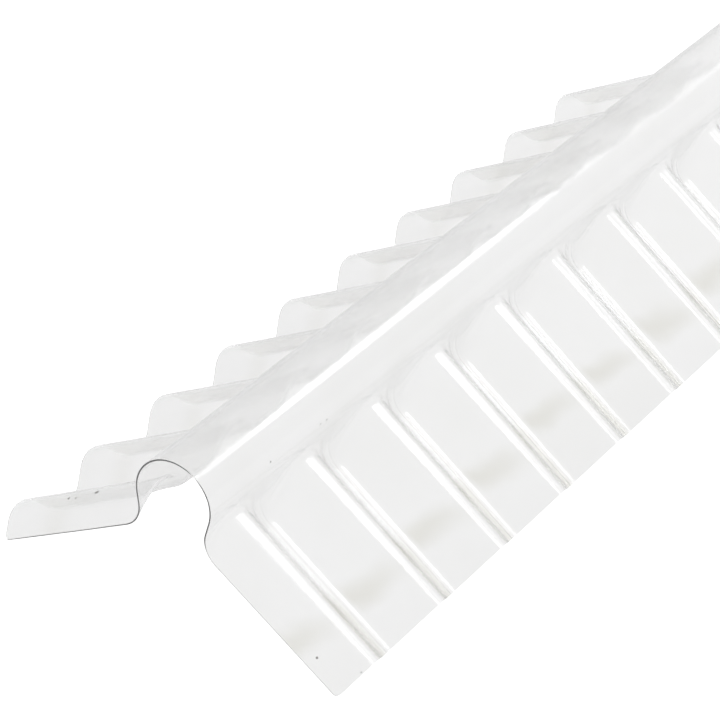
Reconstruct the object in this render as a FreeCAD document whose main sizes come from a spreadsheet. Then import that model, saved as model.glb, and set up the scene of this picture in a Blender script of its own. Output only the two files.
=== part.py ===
import FreeCAD, Part
import Sketcher
import math
import os

# Clear corrugated ridge cap: one formed plastic sheet, open below.
# Frame: X across the ridge, Y along it, Z up, origin on the floor under the middle.

NODE = "ridge_cap"

# Driving dimensions, in millimetres and degrees
SIZES = {
    "pitch": 76.2,             # crest to crest along the ridge
    "corrugations": 10,        # whole corrugations in the length
    "wave_depth": 20.4,        # trough to crest, square to the wing
    "bend_radius": 21.5,       # outer face of every crest and trough bend
    "first_crest": 23.5,       # near cut end to the first crest
    "wing_slope": 30.9,        # fall of each wing
    "cap_width": 268.6,        # over the crests at the two free edges
    "cap_height": 123.1,       # floor to the top of the ridge roll
    "roll_radius": 27.9,       # outer face of the ridge roll
    "roll_lean": 12.0,         # inward lean of the roll's sides below its round
    "junction_reach": 8.0,     # bend between roll and wing, along each of them
    "sheet_thickness": 1.0,
    "spare_pitches": 1,        # corrugations past each end, trimmed off
    "cut_margin": 5.0,         # how far the hollow runs past the cut faces
}

# Places that follow from the driving dimensions
LENGTH = "(sheet.pitch * sheet.corrugations)"
FORMED_PITCHES = "(sheet.corrugations + 2 * sheet.spare_pitches)"
FORMED_START = f"({LENGTH} / 2 - sheet.first_crest + sheet.spare_pitches * sheet.pitch)"
EDGE_HEIGHT = "((sheet.wave_depth / 2 + sheet.sheet_thickness) * cos(sheet.wing_slope))"
EDGE_REACH = "(sheet.cap_width / 2 - sheet.wave_depth / 2 * sin(sheet.wing_slope))"
SLOPE_RUN = f"({EDGE_REACH} / cos(sheet.wing_slope))"
ROLL_CENTRE = "(sheet.cap_height - sheet.roll_radius)"
BEND_CENTRE = "(sheet.bend_radius - sheet.wave_depth / 2)"
CORE_DEPTH = "(1.5 * sheet.wave_depth)"
JUNCTION_TURN = "(90 deg - sheet.wing_slope * 1 deg + sheet.roll_lean * 1 deg)"
JUNCTION_GROWTH = f"(tan({JUNCTION_TURN} / 2) - tan({JUNCTION_TURN} / 4))"
FOOT_HEIGHT = (f"({EDGE_HEIGHT} + ({EDGE_REACH} - sheet.roll_radius) * tan(sheet.wing_slope)"
               " - sheet.wave_depth / cos(sheet.wing_slope))")


def make_sheet(doc):
    sheet = doc.addObject("Spreadsheet::Sheet", "sheet")
    for row, (name, value) in enumerate(SIZES.items(), start=1):
        sheet.set(f"A{row}", name)
        sheet.set(f"B{row}", str(value))
        sheet.setAlias(f"B{row}", name)
    doc.recompute()
    return sheet


def origin_item(body, role):
    return next(item for item in body.Origin.OriginFeatures if item.Role == role)


def new_sketch(body, name, role):
    sketch = body.newObject("Sketcher::SketchObject", name)
    sketch.AttachmentSupport = [(origin_item(body, role), "")]
    sketch.MapMode = "FlatFace"
    return sketch


def line(x0, y0, x1, y1):
    return Part.LineSegment(FreeCAD.Vector(x0, y0, 0), FreeCAD.Vector(x1, y1, 0))


def arc(x, y, radius, start, end):
    circle = Part.Circle(FreeCAD.Vector(x, y, 0), FreeCAD.Vector(0, 0, 1), radius)
    return Part.ArcOfCircle(circle, math.radians(start), math.radians(end))


def drive(sketch, formula, kind, *place):
    # one dimension of a sketch, measured where it is drawn and tied to the sheet
    index = sketch.addConstraint(Sketcher.Constraint(kind, *place))
    sketch.setExpression(f"Constraints[{index}]", formula)


def draw_corrugation(body, sheet, inset, margin):
    # One corrugation from crest to crest, square to the wing, closed by a straight floor.
    # Crest and trough bends keep their centres when the face moves inwards by the inset.
    sketch = new_sketch(body, body.Name + "_wave_profile", "YZ_Plane")
    sketch.AttachmentOffset = FreeCAD.Placement(
        FreeCAD.Vector(0, 0, 0), FreeCAD.Rotation(FreeCAD.Vector(1, 0, 0), sheet.wing_slope))
    sketch.setExpression("AttachmentOffset.Base.y", f"{EDGE_HEIGHT} - {margin} * sin(sheet.wing_slope)")
    sketch.setExpression("AttachmentOffset.Base.z", f"{EDGE_REACH} + {margin} * cos(sheet.wing_slope)")
    sketch.setExpression("AttachmentOffset.Rotation.Angle", "sheet.wing_slope")

    pitch = sheet.pitch
    radius = sheet.bend_radius
    rise = radius - sheet.wave_depth / 2
    left = -pitch * (sheet.corrugations / 2 + sheet.spare_pitches) + sheet.first_crest
    floor = -1.5 * sheet.wave_depth
    reach = radius * math.sin(math.radians(45))
    top = radius - rise
    bend = reach - rise
    sketch.addGeometry([
        arc(left, -rise, radius, 45, 90),
        line(left + reach, bend, left + pitch / 2 - reach, -bend),
        arc(left + pitch / 2, rise, radius, 225, 315),
        line(left + pitch / 2 + reach, -bend, left + pitch - reach, bend),
        arc(left + pitch, -rise, radius, 90, 135),
        line(left + pitch, top, left + pitch, floor),
        line(left + pitch, floor, left, floor),
        line(left, floor, left, top),
    ], False)
    sketch.addConstraint([
        Sketcher.Constraint("Tangent", 0, 1, 1, 1),
        Sketcher.Constraint("Tangent", 1, 2, 2, 1),
        Sketcher.Constraint("Tangent", 2, 2, 3, 1),
        Sketcher.Constraint("Tangent", 3, 2, 4, 2),
        Sketcher.Constraint("Coincident", 4, 1, 5, 1),
        Sketcher.Constraint("Coincident", 5, 2, 6, 1),
        Sketcher.Constraint("Coincident", 6, 2, 7, 1),
        Sketcher.Constraint("Coincident", 7, 2, 0, 2),
        Sketcher.Constraint("Vertical", 5),
        Sketcher.Constraint("Horizontal", 6),
        Sketcher.Constraint("Vertical", 0, 2, 0, 3),
        Sketcher.Constraint("Vertical", 4, 1, 4, 3),
        Sketcher.Constraint("Horizontal", 0, 3, 4, 3),
        Sketcher.Constraint("Equal", 0, 4),
    ])
    drive(sketch, FORMED_START, "DistanceX", 0, 3, -1, 1, -left)
    drive(sketch, BEND_CENTRE, "DistanceY", 0, 3, -1, 1, rise)
    drive(sketch, "sheet.pitch / 2", "DistanceX", 0, 3, 2, 3, pitch / 2)
    drive(sketch, f"2 * {BEND_CENTRE}", "DistanceY", 0, 3, 2, 3, 2 * rise)
    drive(sketch, "sheet.pitch", "DistanceX", 0, 3, 4, 3, pitch)
    drive(sketch, f"sheet.bend_radius - {inset}", "Radius", 0, radius)
    drive(sketch, f"sheet.bend_radius + {inset}", "Radius", 2, radius)
    drive(sketch, f"{CORE_DEPTH} + {margin}", "DistanceY", 6, 1, -1, 1, -floor)
    return sketch


def draw_roll(body, sheet, inset, margin):
    # Ridge roll: a round top on two sides that lean in to a neck
    sketch = new_sketch(body, body.Name + "_roll_profile", "XZ_Plane")
    sketch.setExpression("AttachmentOffset.Base.z", FORMED_START)

    radius = sheet.roll_radius
    lean = math.radians(sheet.roll_lean)
    centre = sheet.cap_height - radius
    side = radius * math.cos(lean)
    side_height = centre - radius * math.sin(lean)
    foot = centre - 2 * radius
    foot_reach = side - (side_height - foot) * math.tan(lean)
    sketch.addGeometry([
        arc(0, centre, radius, -sheet.roll_lean, 180 + sheet.roll_lean),
        line(foot_reach, foot, side, side_height),
        line(-foot_reach, foot, foot_reach, foot),
        line(-side, side_height, -foot_reach, foot),
    ], False)
    sketch.addConstraint([
        Sketcher.Constraint("Tangent", 0, 1, 1, 2),
        Sketcher.Constraint("Tangent", 0, 2, 3, 1),
        Sketcher.Constraint("Coincident", 1, 1, 2, 2),
        Sketcher.Constraint("Coincident", 2, 1, 3, 2),
        Sketcher.Constraint("PointOnObject", 0, 3, -2),
        Sketcher.Constraint("Symmetric", 2, 1, 2, 2, -2),
    ])
    drive(sketch, ROLL_CENTRE, "DistanceY", -1, 1, 0, 3, centre)
    drive(sketch, f"sheet.roll_radius - {inset}", "Radius", 0, radius)
    drive(sketch, "90 deg - sheet.roll_lean * 1 deg", "Angle", 1, math.pi / 2 - lean)
    drive(sketch, f"{FOOT_HEIGHT} - {margin}", "DistanceY", -1, 1, 2, 2, foot)
    return sketch


def is_wave_face(face):
    # crest and trough bends run down the slope, flanks are turned partly along the ridge
    if isinstance(face.Surface, Part.Cylinder):
        return abs(face.Surface.Axis.y) < 0.5
    return isinstance(face.Surface, Part.Plane) and 0.01 < abs(face.Surface.Axis.y) < 0.99


def junction_edges(shape, reach):
    # edges where a corrugation meets the side of the roll
    names = []
    for number, edge in enumerate(shape.Edges, start=1):
        middle = edge.valueAt((edge.FirstParameter + edge.LastParameter) / 2)
        faces = shape.ancestorsOfType(edge, Part.Face)
        along_wave = [is_wave_face(face) for face in faces]
        if abs(middle.x) < reach and sorted(along_wave) == [False, True]:
            names.append(f"Edge{number}")
    return names


def make_form(doc, sheet, name, inset, margin):
    # Solid under one face of the formed sheet: roll, both corrugated wings and their junctions
    body = doc.addObject("PartDesign::Body", name)
    wave = body.newObject("PartDesign::Pad", name + "_corrugation")
    wave.Profile = draw_corrugation(body, sheet, inset, margin)
    wave.Reversed = True
    wave.setExpression("Length", f"{SLOPE_RUN} + {margin}")
    doc.recompute()

    wing = body.newObject("PartDesign::LinearPattern", name + "_wing")
    wing.Originals = [wave]
    wing.Direction = (origin_item(body, "Y_Axis"), [""])
    wing.Mode = "Spacing"
    wing.setExpression("Offset", "sheet.pitch")
    wing.setExpression("Occurrences", FORMED_PITCHES)
    body.Tip = wing
    doc.recompute()

    roll = body.newObject("PartDesign::Pad", name + "_roll")
    roll.Profile = draw_roll(body, sheet, inset, margin)
    roll.Reversed = True
    roll.setExpression("Length", f"sheet.pitch * {FORMED_PITCHES}")
    doc.recompute()

    wings = body.newObject("PartDesign::Mirrored", name + "_wings")
    wings.TransformMode = "Whole shape"
    wings.MirrorPlane = (origin_item(body, "YZ_Plane"), [""])
    body.Tip = wings
    doc.recompute()

    # the bend is one flat strip, and its underside is longer so that the sheet keeps its thickness
    junctions = body.newObject("PartDesign::Chamfer", name + "_junctions")
    junctions.Base = (wings, junction_edges(wings.Shape, sheet.roll_radius))
    junctions.ChamferType = "Equal distance"
    junctions.setExpression("Size", f"sheet.junction_reach + {inset} * {JUNCTION_GROWTH}")
    doc.recompute()
    return body


def make_cap(doc, sheet):
    outer = make_form(doc, sheet, "outer_form", "0", "0")
    inner = make_form(doc, sheet, "inner_form", "sheet.sheet_thickness", "sheet.cut_margin")
    skin = doc.addObject("Part::Cut", "formed_sheet")
    skin.Base = outer
    skin.Tool = inner

    stock = doc.addObject("Part::Box", "trimmed_length")
    stock.setExpression("Length", "sheet.cap_width + 2 * sheet.cut_margin")
    stock.setExpression("Width", LENGTH)
    stock.setExpression("Height", "sheet.cap_height + 2 * sheet.cut_margin")
    stock.setExpression("Placement.Base.x", "-sheet.cap_width / 2 - sheet.cut_margin")
    stock.setExpression("Placement.Base.y", f"-{LENGTH} / 2")
    stock.setExpression("Placement.Base.z", "-sheet.cut_margin")

    cap = doc.addObject("Part::Common", NODE)
    cap.Base = skin
    cap.Tool = stock
    cap.Label = NODE
    cap.Placement = FreeCAD.Placement()
    doc.recompute()
    return cap


def check(doc, cap):
    for item in doc.Objects:
        if "Invalid" in item.State or "Error" in item.State:
            raise RuntimeError(item.Name + " failed")
    if cap.Shape.isNull() or not cap.Shape.isValid() or len(cap.Shape.Solids) != 1:
        raise RuntimeError(NODE + " is not one valid solid")


def main():
    os.makedirs("parts", exist_ok=True)
    doc = FreeCAD.newDocument("ridge_cap_model")
    sheet = make_sheet(doc)
    cap = make_cap(doc, sheet)
    check(doc, cap)
    cap.Shape.exportStep(f"parts/{NODE}.step")
    box = cap.Shape.BoundBox
    print(NODE, "volume", round(cap.Shape.Volume), "area", round(cap.Shape.Area),
          "box", [round(v, 2) for v in (box.XMin, box.XMax, box.YMin, box.YMax, box.ZMin, box.ZMax)])


main()
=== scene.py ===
import bpy
import math
from mathutils import Matrix, Vector


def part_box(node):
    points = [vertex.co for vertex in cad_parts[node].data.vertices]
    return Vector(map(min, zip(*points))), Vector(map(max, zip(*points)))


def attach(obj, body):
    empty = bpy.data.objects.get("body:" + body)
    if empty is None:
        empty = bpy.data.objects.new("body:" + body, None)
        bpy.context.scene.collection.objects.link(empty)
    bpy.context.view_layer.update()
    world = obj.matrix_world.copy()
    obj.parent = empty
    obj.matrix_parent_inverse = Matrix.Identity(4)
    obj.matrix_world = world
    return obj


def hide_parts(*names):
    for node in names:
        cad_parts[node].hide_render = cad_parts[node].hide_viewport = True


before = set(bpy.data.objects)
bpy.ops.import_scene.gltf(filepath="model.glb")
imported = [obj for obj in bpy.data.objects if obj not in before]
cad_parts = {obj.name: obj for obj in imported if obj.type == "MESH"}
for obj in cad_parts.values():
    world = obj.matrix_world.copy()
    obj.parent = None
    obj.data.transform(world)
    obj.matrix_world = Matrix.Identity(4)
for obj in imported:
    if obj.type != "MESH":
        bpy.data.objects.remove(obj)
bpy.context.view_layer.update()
capLow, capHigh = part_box("ridge_cap")
print("frame loaded", [round(v, 4) for v in capHigh - capLow])

# Formed sheet: sizes in metres and degrees
sheetForm = {
    "corrugations": 10,
    "waveDepth": 0.0204,       # trough to crest, square to the wing
    "bendRadius": 0.0215,      # crests and troughs
    "firstCrest": 0.0235,      # near cut end to the first crest
    "wingSlope": 30.9,
    "rollRadius": 0.0279,
    "rollLean": 12.0,          # sides of the roll lean in below its round
    "crestBend": 0.006,        # bend from wing to roll at a crest
    "troughBend": 0.018,       # and in the troughs
    "bendFrom": -0.25,         # the bend changes between these heights, as shares of the depth
    "bendTo": 0.5,
    "thickness": 0.001,
    "cornerRadius": 0.003,     # the four corners of the cut sheet
    "cornerSteps": 3,
    "waveDrift": 0.0042,       # corrugations lie this much further along beside the roll
    "driftStart": 0.030,       # no drift at the cut ends, all of it from here on
    "edgeDrift": 0.0060,       # the right free edge lags by this from its middle on
    "crestFlat": 0.0005,       # crests flatten beside the roll
    "flatAtEdge": 0.08,        # share of it at the free edge
    "flatFrom": 0.15,          # it grows between these shares of the wing
    "flatTo": 0.85,
    "shallowFrom": 0.004,      # left troughs below this get shallower beside the roll
    "shallowShare": 0.8,       # by this much at the roll
    "shallowStart": 0.7,       # from this share of the wing on
    "formingLine": 0.0050,     # fine crease this far before a trough
    "formingHeight": 0.00030,
    "formingWidth": 0.0013,
    "coarseRow": 0.0012,       # mesh rows along the ridge
    "fineRow": 0.0008,         # rows beside the forming lines
    "fineReach": 0.0075,
    "wingSteps": 6,
    "bendSteps": 9,
    "sideSteps": 1,
    "rollSteps": 15,
    "smoothAngle": 40.0,
}


def deselectAll():
    if bpy.context.object and bpy.context.object.mode != "OBJECT":
        bpy.ops.object.mode_set(mode="OBJECT")
    bpy.ops.object.select_all(action="DESELECT")


def applyModifiers(piece):
    deselectAll()
    piece.select_set(True)
    bpy.context.view_layer.objects.active = piece
    for modifier in list(piece.modifiers):
        bpy.ops.object.modifier_apply(modifier=modifier.name)


def smoothStep(low, high, value):
    t = min(max((value - low) / (high - low), 0.0), 1.0)
    return t * t * (3 - 2 * t)


def phaseDistance(y, pitch, centre):
    return (y - centre + pitch / 2) % pitch - pitch / 2


def heading(line):
    return math.atan2(line.y, line.x)


def ray(angle):
    return Vector((math.cos(angle), math.sin(angle)))


def rowDrift(form, side, upWing, place):
    # how far a point of a mesh row lies further along the ridge, nothing at the two cut ends
    drift = form["waveDrift"] * (upWing if side < 0 else 1.0)
    if side > 0:
        drift -= form["edgeDrift"] * (1 - upWing) * min(2 * place / form["length"], 1.0)
    fromEnd = min(place, form["length"] - place)
    return drift * smoothStep(0.0, form["driftStart"], fromEnd)


def waveHeight(form, side, upWing, place):
    # round crests and troughs joined by straight flanks, with a fine forming line before each trough
    pitch, radius, depth = form["pitch"], form["bendRadius"], form["waveDepth"]
    rise = 2 * radius - depth
    steep = math.atan2(pitch / 2, rise) - math.acos(2 * radius / math.hypot(pitch / 2, rise))
    past = phaseDistance(place, pitch, form["firstCrest"])
    fromCrest = abs(past)
    fromTrough = pitch / 2 - fromCrest
    bendEnd = radius * math.sin(steep)
    if fromCrest < bendEnd:
        height = math.sqrt(radius ** 2 - fromCrest ** 2) + depth / 2 - radius
    elif fromTrough < bendEnd:
        height = -math.sqrt(radius ** 2 - fromTrough ** 2) - depth / 2 + radius
    else:
        flankTop = radius * math.cos(steep) + depth / 2 - radius
        height = flankTop - (fromCrest - bendEnd) * math.tan(steep)
    fall = depth / 2 - height
    if fall > 0:
        grown = smoothStep(form["flatFrom"], form["flatTo"], upWing)
        flatShare = form["flatAtEdge"] + (1 - form["flatAtEdge"]) * grown
        flat = form["crestFlat"] * flatShare * smoothStep(depth, 0.0, fall)
        height = depth / 2 - fall * fall / (fall + flat)
    if side < 0 and height < -form["shallowFrom"]:
        keep = 1 - form["shallowShare"] * smoothStep(form["shallowStart"], 1.0, upWing)
        height = -form["shallowFrom"] + (height + form["shallowFrom"]) * keep
    bead = (pitch / 2 - past - form["formingLine"]) / form["formingWidth"]
    return height + form["formingHeight"] * math.exp(-bead * bead)


def halfSection(form, side, place):
    # one half of a mesh row, from the free edge up to the top of the roll
    # each point comes with its share of the wing, 0 at the free edge and 1 at the roll
    slope = math.radians(form["wingSlope"])
    lean = math.radians(form["rollLean"])
    radius = form["rollRadius"]
    square = Vector((math.sin(slope), math.cos(slope)))      # square to the wing
    upSlope = Vector((-math.cos(slope), math.sin(slope)))
    outward = Vector((math.cos(lean), -math.sin(lean)))      # square to the roll's side
    rollCentre = Vector((0.0, form["rollCentre"]))
    height = waveHeight(form, side, 1.0, place)
    foot = Vector((form["edgeReach"], form["edgeHeight"]))
    edge = foot + height * square
    crestShare = smoothStep(form["bendFrom"], form["bendTo"], height / form["waveDepth"])
    bend = form["troughBend"] + (form["crestBend"] - form["troughBend"]) * crestShare

    sideTop = rollCentre + radius * outward
    level = Matrix((outward, square)).inverted()
    bendCentre = level @ Vector((outward @ sideTop + bend, square @ edge + bend))
    sideFoot = bendCentre - bend * outward
    if sideFoot.y > sideTop.y:                               # the bend runs straight into the round
        start = edge + bend * square - rollCentre
        along = upSlope @ start
        gap = along ** 2 - (start.length_squared - (radius + bend) ** 2)
        bendCentre = rollCentre + start + (-along - math.sqrt(max(gap, 0.0))) * upSlope
        sideFoot = bendCentre + bend * (rollCentre - bendCentre).normalized()
        sideTop = sideFoot
    wingTop = bendCentre - bend * square

    wingLength = (wingTop - edge).length
    corner = form["cornerRadius"]
    runs = [step * corner / form["cornerSteps"] for step in range(form["cornerSteps"])]
    for step in range(form["wingSteps"]):
        runs.append(corner + (wingLength - corner) * step / form["wingSteps"])
    points = []
    for run in runs:
        upWing = run / wingLength
        points.append((foot + run * upSlope + waveHeight(form, side, upWing, place) * square, upWing))
    first = heading(wingTop - bendCentre)
    last = heading(sideFoot - bendCentre)
    if last > first:
        last -= 2 * math.pi
    for step in range(form["bendSteps"]):
        angle = first + (last - first) * step / form["bendSteps"]
        points.append((bendCentre + bend * ray(angle), 1.0))
    for step in range(form["sideSteps"]):
        points.append((sideFoot.lerp(sideTop, step / form["sideSteps"]), 1.0))
    first = heading(sideTop - rollCentre)
    for step in range(form["rollSteps"] + 1):
        angle = first + (math.pi / 2 - first) * step / form["rollSteps"]
        points.append((rollCentre + radius * ray(angle), 1.0))
    return points


def rowStations(form):
    # places of the mesh rows along the ridge, close together beside the forming lines and the cut ends
    rows = [0.0]
    troughs = form["firstCrest"] + form["pitch"] / 2
    while rows[-1] < form["length"] - form["fineRow"] / 2:
        y = rows[-1]
        nearTrough = abs(phaseDistance(y + form["fineRow"], form["pitch"], troughs)) < form["fineReach"]
        nearEnd = min(y, form["length"] - y) < form["cornerRadius"] - 1e-6
        rows.append(y + (form["fineRow"] if nearTrough or nearEnd else form["coarseRow"]))
    rows[-1] = form["length"]
    return rows


def roundCorner(form, run, y):
    # run is the distance from the free edge and y from the nearer cut end
    size = form["cornerRadius"]
    if run >= size or y >= size:
        return run, y
    a = 1 - run / size
    b = 1 - y / size
    return size - size * a * math.sqrt(1 - b * b / 2), size - size * b * math.sqrt(1 - a * a / 2)


def makeSheet(form):
    form["length"] = capHigh.y - capLow.y
    form["pitch"] = form["length"] / form["corrugations"]
    slope = math.radians(form["wingSlope"])
    form["edgeHeight"] = (form["waveDepth"] / 2 + form["thickness"]) * math.cos(slope)
    form["edgeReach"] = capHigh.x - form["waveDepth"] / 2 * math.sin(slope)
    form["rollCentre"] = capHigh.z - form["rollRadius"]
    upSlope = Vector((-math.cos(slope), math.sin(slope)))

    rows = rowStations(form)
    halfCount = len(halfSection(form, 1, 0.0))
    columns = 2 * halfCount - 1
    deselectAll()
    bpy.ops.mesh.primitive_grid_add(x_subdivisions=columns - 1, y_subdivisions=len(rows) - 1, size=2)
    sheet = bpy.context.object
    sheet.name = "ridgeCapSheet"
    slices = {}
    for vertex in sheet.data.vertices:
        column = round((vertex.co.x + 1) / 2 * (columns - 1))
        row = round((vertex.co.y + 1) / 2 * (len(rows) - 1))
        side = 1 if column >= halfCount else -1
        station = columns - 1 - column if side > 0 else column
        y = rows[row]
        fromEnd = min(y, form["length"] - y)
        if station <= form["cornerSteps"] and fromEnd < form["cornerRadius"]:
            run = station * form["cornerRadius"] / form["cornerSteps"]
            run, gap = roundCorner(form, run, fromEnd)
            y = gap if y < form["length"] / 2 else form["length"] - gap
            point, upWing = halfSection(form, side, y)[0]
            point = point + run * upSlope
        else:
            if (side, row) not in slices:
                slices[side, row] = halfSection(form, side, y)
            point, upWing = slices[side, row][station]
        vertex.co = (side * point.x, capLow.y + y + rowDrift(form, side, upWing, y), point.y)
    outerFaces = len(sheet.data.polygons)
    outerPoints = len(sheet.data.vertices)
    wall = sheet.modifiers.new("wall", "SOLIDIFY")
    wall.thickness = form["thickness"]
    wall.offset = -1
    wall.use_even_offset = True
    applyModifiers(sheet)
    points = sheet.data.vertices
    for index in range(outerPoints):                         # the cut ends are square to the ridge
        outer, inner = points[index].co, points[index + outerPoints].co
        share = min(outer.y - capLow.y, capHigh.y - outer.y) / form["cornerRadius"]
        if share < 1:
            inner.y = outer.y + (inner.y - outer.y) * max(share, 0.0)
    rim = [1.0 if face.index >= 2 * outerFaces else 0.0 for face in sheet.data.polygons]
    cutEdge = sheet.data.attributes.new("cutEdge", "FLOAT", "FACE")
    cutEdge.data.foreach_set("value", rim)
    bpy.ops.object.shade_smooth_by_angle(angle=math.radians(form["smoothAngle"]))
    faceCount = len(sheet.data.polygons)
    print("sheet", len(rows), "rows", columns, "columns", faceCount, "faces", sum(rim), "rim faces")
    return sheet


# Clear plastic: what the surface shows, with phases from one crest (0) to the next (1)
plasticLook = {
    "clear": (0.966, 0.966, 0.966, 1),
    "haze": (0.951, 0.951, 0.946, 1),
    "hazeLimits": (0.42, 0.72),           # cloud values between which the haze sets in
    "cloudScale": 14.0,
    "cloudDetail": 3.0,
    "cut": (0.50, 0.50, 0.49, 1),
    "roughness": 0.105,
    "smear": (0.6, 1.7),                  # least and most of the roughness, by the cloud
    "cutRoughness": 0.45,
    "ior": 1.45,
    "rippleScale": 38.0,
    "rippleDetail": 2.0,
    "drawnScale": (5.0, 420.0, 5.0),      # fine lines across the ridge from the forming
    "drawnDetail": 2.0,
    "drawnShare": 0.06,
    "bumpStrength": 0.05,
    "bumpDistance": 0.002,
    "lampPass": (0.993, 0.993, 0.992, 1),   # light that each surface lets through to the floor
    "oliveBand": (0.855, 0.85, 0.815, 1),      # darker olive tint in bands on the lower wings
    "bandAcross": 0.089,                  # its distance from the ridge line
    "bandWidth": 0.013,
    "bandWobble": 0.03,                   # the cloud bends it by this
    "bandDrift": 0.62,                    # it moves out along each panel
    "bandMiddle": 0.6,                    # phase where it lies at bandAcross
    "panelStart": (0.47, 0.56),           # phases where it sets in
    "panelEnd": (0.62, 1.0),              # and fades
    "panelLast": 0.25,                    # down to this
    "flankAcross": (0.074, 0.094),        # tint down the far flanks, from the ridge line
    "flankStart": (0.06, 0.16),
    "flankEnd": (0.36, 0.46),
    "bandLeft": 0.3,                      # share of it on the left wing
    "bandTurn": 0.01,                     # changes over this much to each side of the ridge line
    "speck": (0.10, 0.09, 0.08, 1),
    "speckSoft": (0.5, 1.3),              # a speck fades between these shares of its radius
    "specks": [                           # place and radius of each dark speck
        ((-0.0731, -0.3583, 0.0550), 0.0018), ((-0.0924, -0.3613, 0.0430), 0.0011),
        ((-0.0863, -0.3621, 0.0465), 0.0009), ((-0.0745, 0.0852, 0.0476), 0.0011),
        ((0.1071, -0.3758, 0.0237), 0.0009), ((0.0876, -0.2973, 0.0380), 0.0007),
        ((0.0277, -0.2550, 0.0986), 0.0007), ((0.0276, -0.2620, 0.0991), 0.0006),
        ((0.1324, -0.3644, 0.0182), 0.0009), ((0.0274, -0.3170, 0.1005), 0.0007),
    ],
}


def newMaterial(name):
    material = bpy.data.materials.new(name)
    material.use_nodes = True
    tree = material.node_tree
    tree.nodes.clear()
    return material, tree


def addNode(tree, kind, **values):
    node = tree.nodes.new(kind)
    for key, value in values.items():
        setattr(node, key, value)
    return node


def mathNode(tree, operation, *values):
    # a value is a number or the output socket of another node
    node = addNode(tree, "ShaderNodeMath", operation=operation)
    for index, value in enumerate(values):
        if isinstance(value, (int, float)):
            node.inputs[index].default_value = value
        else:
            tree.links.new(value, node.inputs[index])
    return node.outputs[0]


def rampNode(tree, value, low, high, first=0.0, last=1.0, kind="SMOOTHSTEP"):
    node = addNode(tree, "ShaderNodeMapRange", interpolation_type=kind)
    for name, number in (("From Min", low), ("From Max", high), ("To Min", first), ("To Max", last)):
        node.inputs[name].default_value = number
    tree.links.new(value, node.inputs["Value"])
    return node.outputs["Result"]


def noiseNode(tree, place, scale, detail):
    node = addNode(tree, "ShaderNodeTexNoise")
    node.inputs["Scale"].default_value = scale
    node.inputs["Detail"].default_value = detail
    tree.links.new(place, node.inputs["Vector"])
    return node.outputs["Fac"]


def oliveBandMask(tree, look, place, cloud):
    # soft darker olive band across each panel on the lower wings, strongest beside the trough, and down
    # the far flanks
    split = addNode(tree, "ShaderNodeSeparateXYZ")
    tree.links.new(place, split.inputs["Vector"])
    pitch, first = sheetForm["pitch"], sheetForm["firstCrest"]
    along = mathNode(tree, "SUBTRACT", split.outputs["Y"], capLow.y + first + sheetForm["waveDrift"])
    phase = mathNode(tree, "FRACT", mathNode(tree, "DIVIDE", along, pitch))
    wobble = mathNode(tree, "MULTIPLY", mathNode(tree, "SUBTRACT", cloud, 0.5), look["bandWobble"])
    across = mathNode(tree, "ADD", mathNode(tree, "ABSOLUTE", split.outputs["X"]), wobble)
    fromMiddle = mathNode(tree, "SUBTRACT", phase, look["bandMiddle"])
    drift = mathNode(tree, "MULTIPLY", fromMiddle, look["bandDrift"] * pitch)
    centre = mathNode(tree, "ADD", drift, look["bandAcross"])
    away = mathNode(tree, "ABSOLUTE", mathNode(tree, "SUBTRACT", across, centre))
    band = rampNode(tree, away, 0.0, look["bandWidth"], 1.0, 0.0)
    panelStart = rampNode(tree, phase, *look["panelStart"])
    panelEnd = rampNode(tree, phase, *look["panelEnd"], 1.0, look["panelLast"])
    panel = mathNode(tree, "MULTIPLY", band, mathNode(tree, "MULTIPLY", panelStart, panelEnd))
    low = rampNode(tree, across, *look["flankAcross"])
    flankStart = rampNode(tree, phase, *look["flankStart"])
    flankEnd = rampNode(tree, phase, *look["flankEnd"], 1.0, 0.0)
    flank = mathNode(tree, "MULTIPLY", low, mathNode(tree, "MULTIPLY", flankStart, flankEnd))
    sides = rampNode(tree, split.outputs["X"], -look["bandTurn"], look["bandTurn"], look["bandLeft"], 1.0)
    return mathNode(tree, "MULTIPLY", mathNode(tree, "MAXIMUM", panel, flank), sides)


def speckMask(tree, look, place):
    inside, outside = look["speckSoft"]
    mask = None
    for spot, radius in look["specks"]:
        gap = addNode(tree, "ShaderNodeVectorMath", operation="DISTANCE")
        gap.inputs[1].default_value = spot
        tree.links.new(place, gap.inputs[0])
        dot = rampNode(tree, gap.outputs["Value"], radius * inside, radius * outside, 1.0, 0.0)
        mask = dot if mask is None else mathNode(tree, "MAXIMUM", mask, dot)
    return mask


def mixColour(tree, factor, first, second):
    node = addNode(tree, "ShaderNodeMix", data_type="RGBA")
    tree.links.new(factor, node.inputs["Factor"])
    for name, colour in (("A", first), ("B", second)):
        if isinstance(colour, tuple):
            node.inputs[name].default_value = colour
        else:
            tree.links.new(colour, node.inputs[name])
    return node.outputs["Result"]


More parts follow.
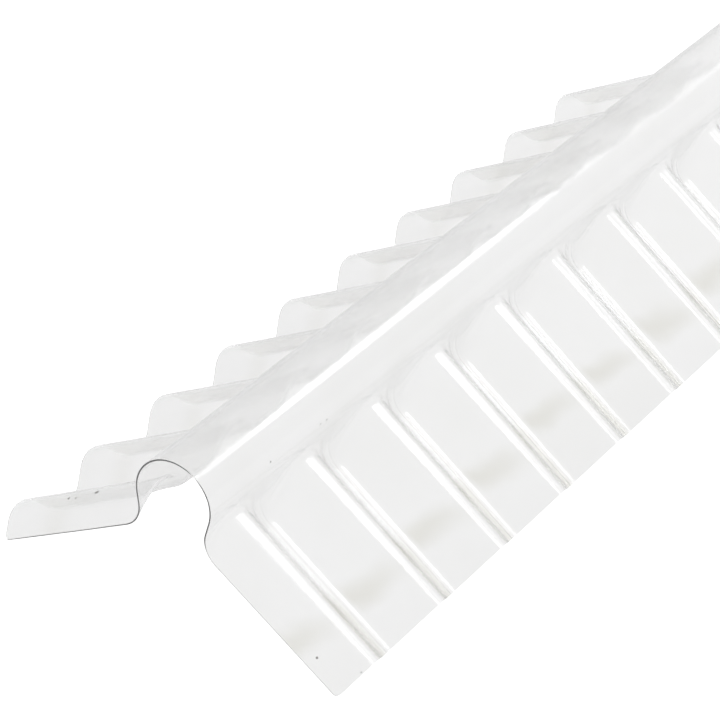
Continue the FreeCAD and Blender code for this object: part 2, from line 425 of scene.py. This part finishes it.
def clearPlastic(look):
    material, tree = newMaterial("clearPlastic")
    link = tree.links.new
    place = addNode(tree, "ShaderNodeTexCoord").outputs["Object"]
    cloud = noiseNode(tree, place, look["cloudScale"], look["cloudDetail"])
    edge = addNode(tree, "ShaderNodeAttribute", attribute_name="cutEdge")
    colour = mixColour(tree, rampNode(tree, cloud, *look["hazeLimits"]), look["clear"], look["haze"])
    # darker olive tint across the lower-wing panels and down the far flanks
    colour = mixColour(tree, oliveBandMask(tree, look, place, cloud), colour, look["oliveBand"])
    colour = mixColour(tree, speckMask(tree, look, place), colour, look["speck"])
    colour = mixColour(tree, edge.outputs["Fac"], colour, look["cut"])

    least, most = [look["roughness"] * share for share in look["smear"]]
    smear = rampNode(tree, cloud, 0.0, 1.0, least, most, kind="LINEAR")
    roughMix = addNode(tree, "ShaderNodeMix", data_type="FLOAT")
    roughMix.inputs["B"].default_value = look["cutRoughness"]
    link(smear, roughMix.inputs["A"])
    link(edge.outputs["Fac"], roughMix.inputs["Factor"])

    ripple = noiseNode(tree, place, look["rippleScale"], look["rippleDetail"])
    stretch = addNode(tree, "ShaderNodeMapping")
    stretch.inputs["Scale"].default_value = look["drawnScale"]
    link(place, stretch.inputs["Vector"])
    drawn = noiseNode(tree, stretch.outputs["Vector"], 1.0, look["drawnDetail"])
    bump = addNode(tree, "ShaderNodeBump")
    bump.inputs["Strength"].default_value = look["bumpStrength"]
    bump.inputs["Distance"].default_value = look["bumpDistance"]
    link(mathNode(tree, "MULTIPLY_ADD", drawn, look["drawnShare"], ripple), bump.inputs["Height"])

    plastic = addNode(tree, "ShaderNodeBsdfPrincipled")
    plastic.inputs["Transmission Weight"].default_value = 1.0
    plastic.inputs["IOR"].default_value = look["ior"]
    link(colour, plastic.inputs["Base Color"])
    link(roughMix.outputs["Result"], plastic.inputs["Roughness"])
    link(bump.outputs["Normal"], plastic.inputs["Normal"])
    passLight = addNode(tree, "ShaderNodeBsdfTransparent")
    passLight.inputs["Color"].default_value = look["lampPass"]
    path = addNode(tree, "ShaderNodeLightPath")
    pick = addNode(tree, "ShaderNodeMixShader")
    floorLight = mathNode(tree, "MAXIMUM", path.outputs["Is Shadow Ray"], path.outputs["Is Diffuse Ray"])
    link(floorLight, pick.inputs["Fac"])
    link(plastic.outputs["BSDF"], pick.inputs[1])
    link(passLight.outputs["BSDF"], pick.inputs[2])
    output = addNode(tree, "ShaderNodeOutputMaterial")
    link(pick.outputs["Shader"], output.inputs["Surface"])
    return material


# White floor that keeps the shadow
floorLook = {
    "size": 60.0,
    "drop": 0.0004,
    "colour": (0.88, 0.88, 0.88, 1),
    "roughness": 0.9,
    "lift": 0.38,              # added where the camera sees the floor itself
    "throughLift": 0.03,       # and where it is seen in or through the sheet
}


def makeFloor(look):
    deselectAll()
    bpy.ops.mesh.primitive_plane_add(size=look["size"], location=(0, 0, capLow.z - look["drop"]))
    floor = bpy.context.object
    floor.name = "studioFloor"
    material, tree = newMaterial("whiteFloor")
    link = tree.links.new
    matt = addNode(tree, "ShaderNodeBsdfPrincipled")
    matt.inputs["Base Color"].default_value = look["colour"]
    matt.inputs["Roughness"].default_value = look["roughness"]
    matt.inputs["Specular IOR Level"].default_value = 0.0
    matt.inputs["Emission Color"].default_value = (1, 1, 1, 1)
    path = addNode(tree, "ShaderNodeLightPath")
    direct = mathNode(tree, "MULTIPLY", path.outputs["Is Camera Ray"], look["lift"])
    bent = mathNode(tree, "MAXIMUM", path.outputs["Is Glossy Ray"], path.outputs["Is Transmission Ray"])
    through = mathNode(tree, "MULTIPLY", bent, look["throughLift"])
    link(mathNode(tree, "MAXIMUM", direct, through), matt.inputs["Emission Strength"])
    output = addNode(tree, "ShaderNodeOutputMaterial")
    link(matt.outputs["BSDF"], output.inputs["Surface"])
    floor.data.materials.append(material)
    print("floor")


# Studio light
studio = {
    "horizon": 0.90,           # pale walls low down, a lighter ceiling above
    "ceiling": 1.10,
    "horizonTop": 0.15,        # as the height of the direction, 0 level and 1 straight up
    "ceilingFrom": 0.75,
    "nearSide": 0.88,          # share of it on the near side, all of it straight behind
    "roomTurn": (-0.3, 0.4),   # it changes between these, as the direction along less that across
    "softboxAt": (0.97, 2.2, 2.17),
    "softboxAim": (0.0, -0.1, 0.08),
    "softboxSize": (0.95, 0.48),
    "softboxPower": 8.0,
}


def lightStudio(look):
    world = bpy.data.worlds.new("studio")
    world.use_nodes = True
    tree = world.node_tree
    background = tree.nodes["Background"]
    background.inputs["Color"].default_value = (1, 1, 1, 1)
    direction = addNode(tree, "ShaderNodeTexCoord")
    split = addNode(tree, "ShaderNodeSeparateXYZ")
    tree.links.new(direction.outputs["Generated"], split.inputs["Vector"])
    fade = rampNode(tree, split.outputs["Z"], look["horizonTop"], look["ceilingFrom"],
                    look["horizon"], look["ceiling"])
    sideways = mathNode(tree, "ABSOLUTE", split.outputs["X"])
    ahead = mathNode(tree, "SUBTRACT", split.outputs["Y"], sideways)
    room = rampNode(tree, ahead, *look["roomTurn"], look["nearSide"], 1.0)
    tree.links.new(mathNode(tree, "MULTIPLY", fade, room), background.inputs["Strength"])
    bpy.context.scene.world = world
    deselectAll()
    bpy.ops.object.light_add(type="AREA", location=look["softboxAt"])
    softbox = bpy.context.object
    softbox.name = "softbox"
    softbox.data.shape = "ELLIPSE"
    softbox.data.size, softbox.data.size_y = look["softboxSize"]
    softbox.data.energy = look["softboxPower"]
    aim = Vector(look["softboxAim"]) - softbox.location
    softbox.rotation_euler = aim.to_track_quat("-Z", "Y").to_euler()
    print("light")


# Camera at the photograph's view
viewFrom = {
    "aim": (0.0440, -0.2483, 0.1472),
    "distance": 2.1507,
    "azimuth": 30.533,
    "elevation": 33.721,
    "roll": 4.943,
    "lens": 173.902,
    "sensor": 36.0,
    "reach": 200.0,
}


def setCamera(view):
    azimuth = math.radians(view["azimuth"])
    elevation = math.radians(view["elevation"])
    back = Vector((math.sin(azimuth) * math.cos(elevation), -math.cos(azimuth) * math.cos(elevation),
                   math.sin(elevation)))
    level = Vector((math.cos(azimuth), math.sin(azimuth), 0))
    turn = Matrix((level, back.cross(level), back)).transposed()
    turn = Matrix.Rotation(math.radians(view["roll"]), 3, back) @ turn
    deselectAll()
    bpy.ops.object.camera_add(location=Vector(view["aim"]) + view["distance"] * back)
    camera = bpy.context.object
    camera.rotation_euler = turn.to_euler()
    camera.data.sensor_width = view["sensor"]
    camera.data.lens = view["lens"]
    camera.data.clip_end = view["reach"]
    bpy.context.scene.camera = camera
    print("camera")


sheet = makeSheet(sheetForm)
sheet.data.materials.append(clearPlastic(plasticLook))
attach(sheet, "root")
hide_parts("ridge_cap")
makeFloor(floorLook)
lightStudio(studio)
setCamera(viewFrom)
bpy.context.scene.view_settings.view_transform = "Standard"
clearLayers = 16                                             # many clear surfaces in a row
bpy.context.scene.cycles.max_bounces = clearLayers
bpy.context.scene.cycles.transmission_bounces = clearLayers
bpy.context.scene.cycles.glossy_bounces = clearLayers
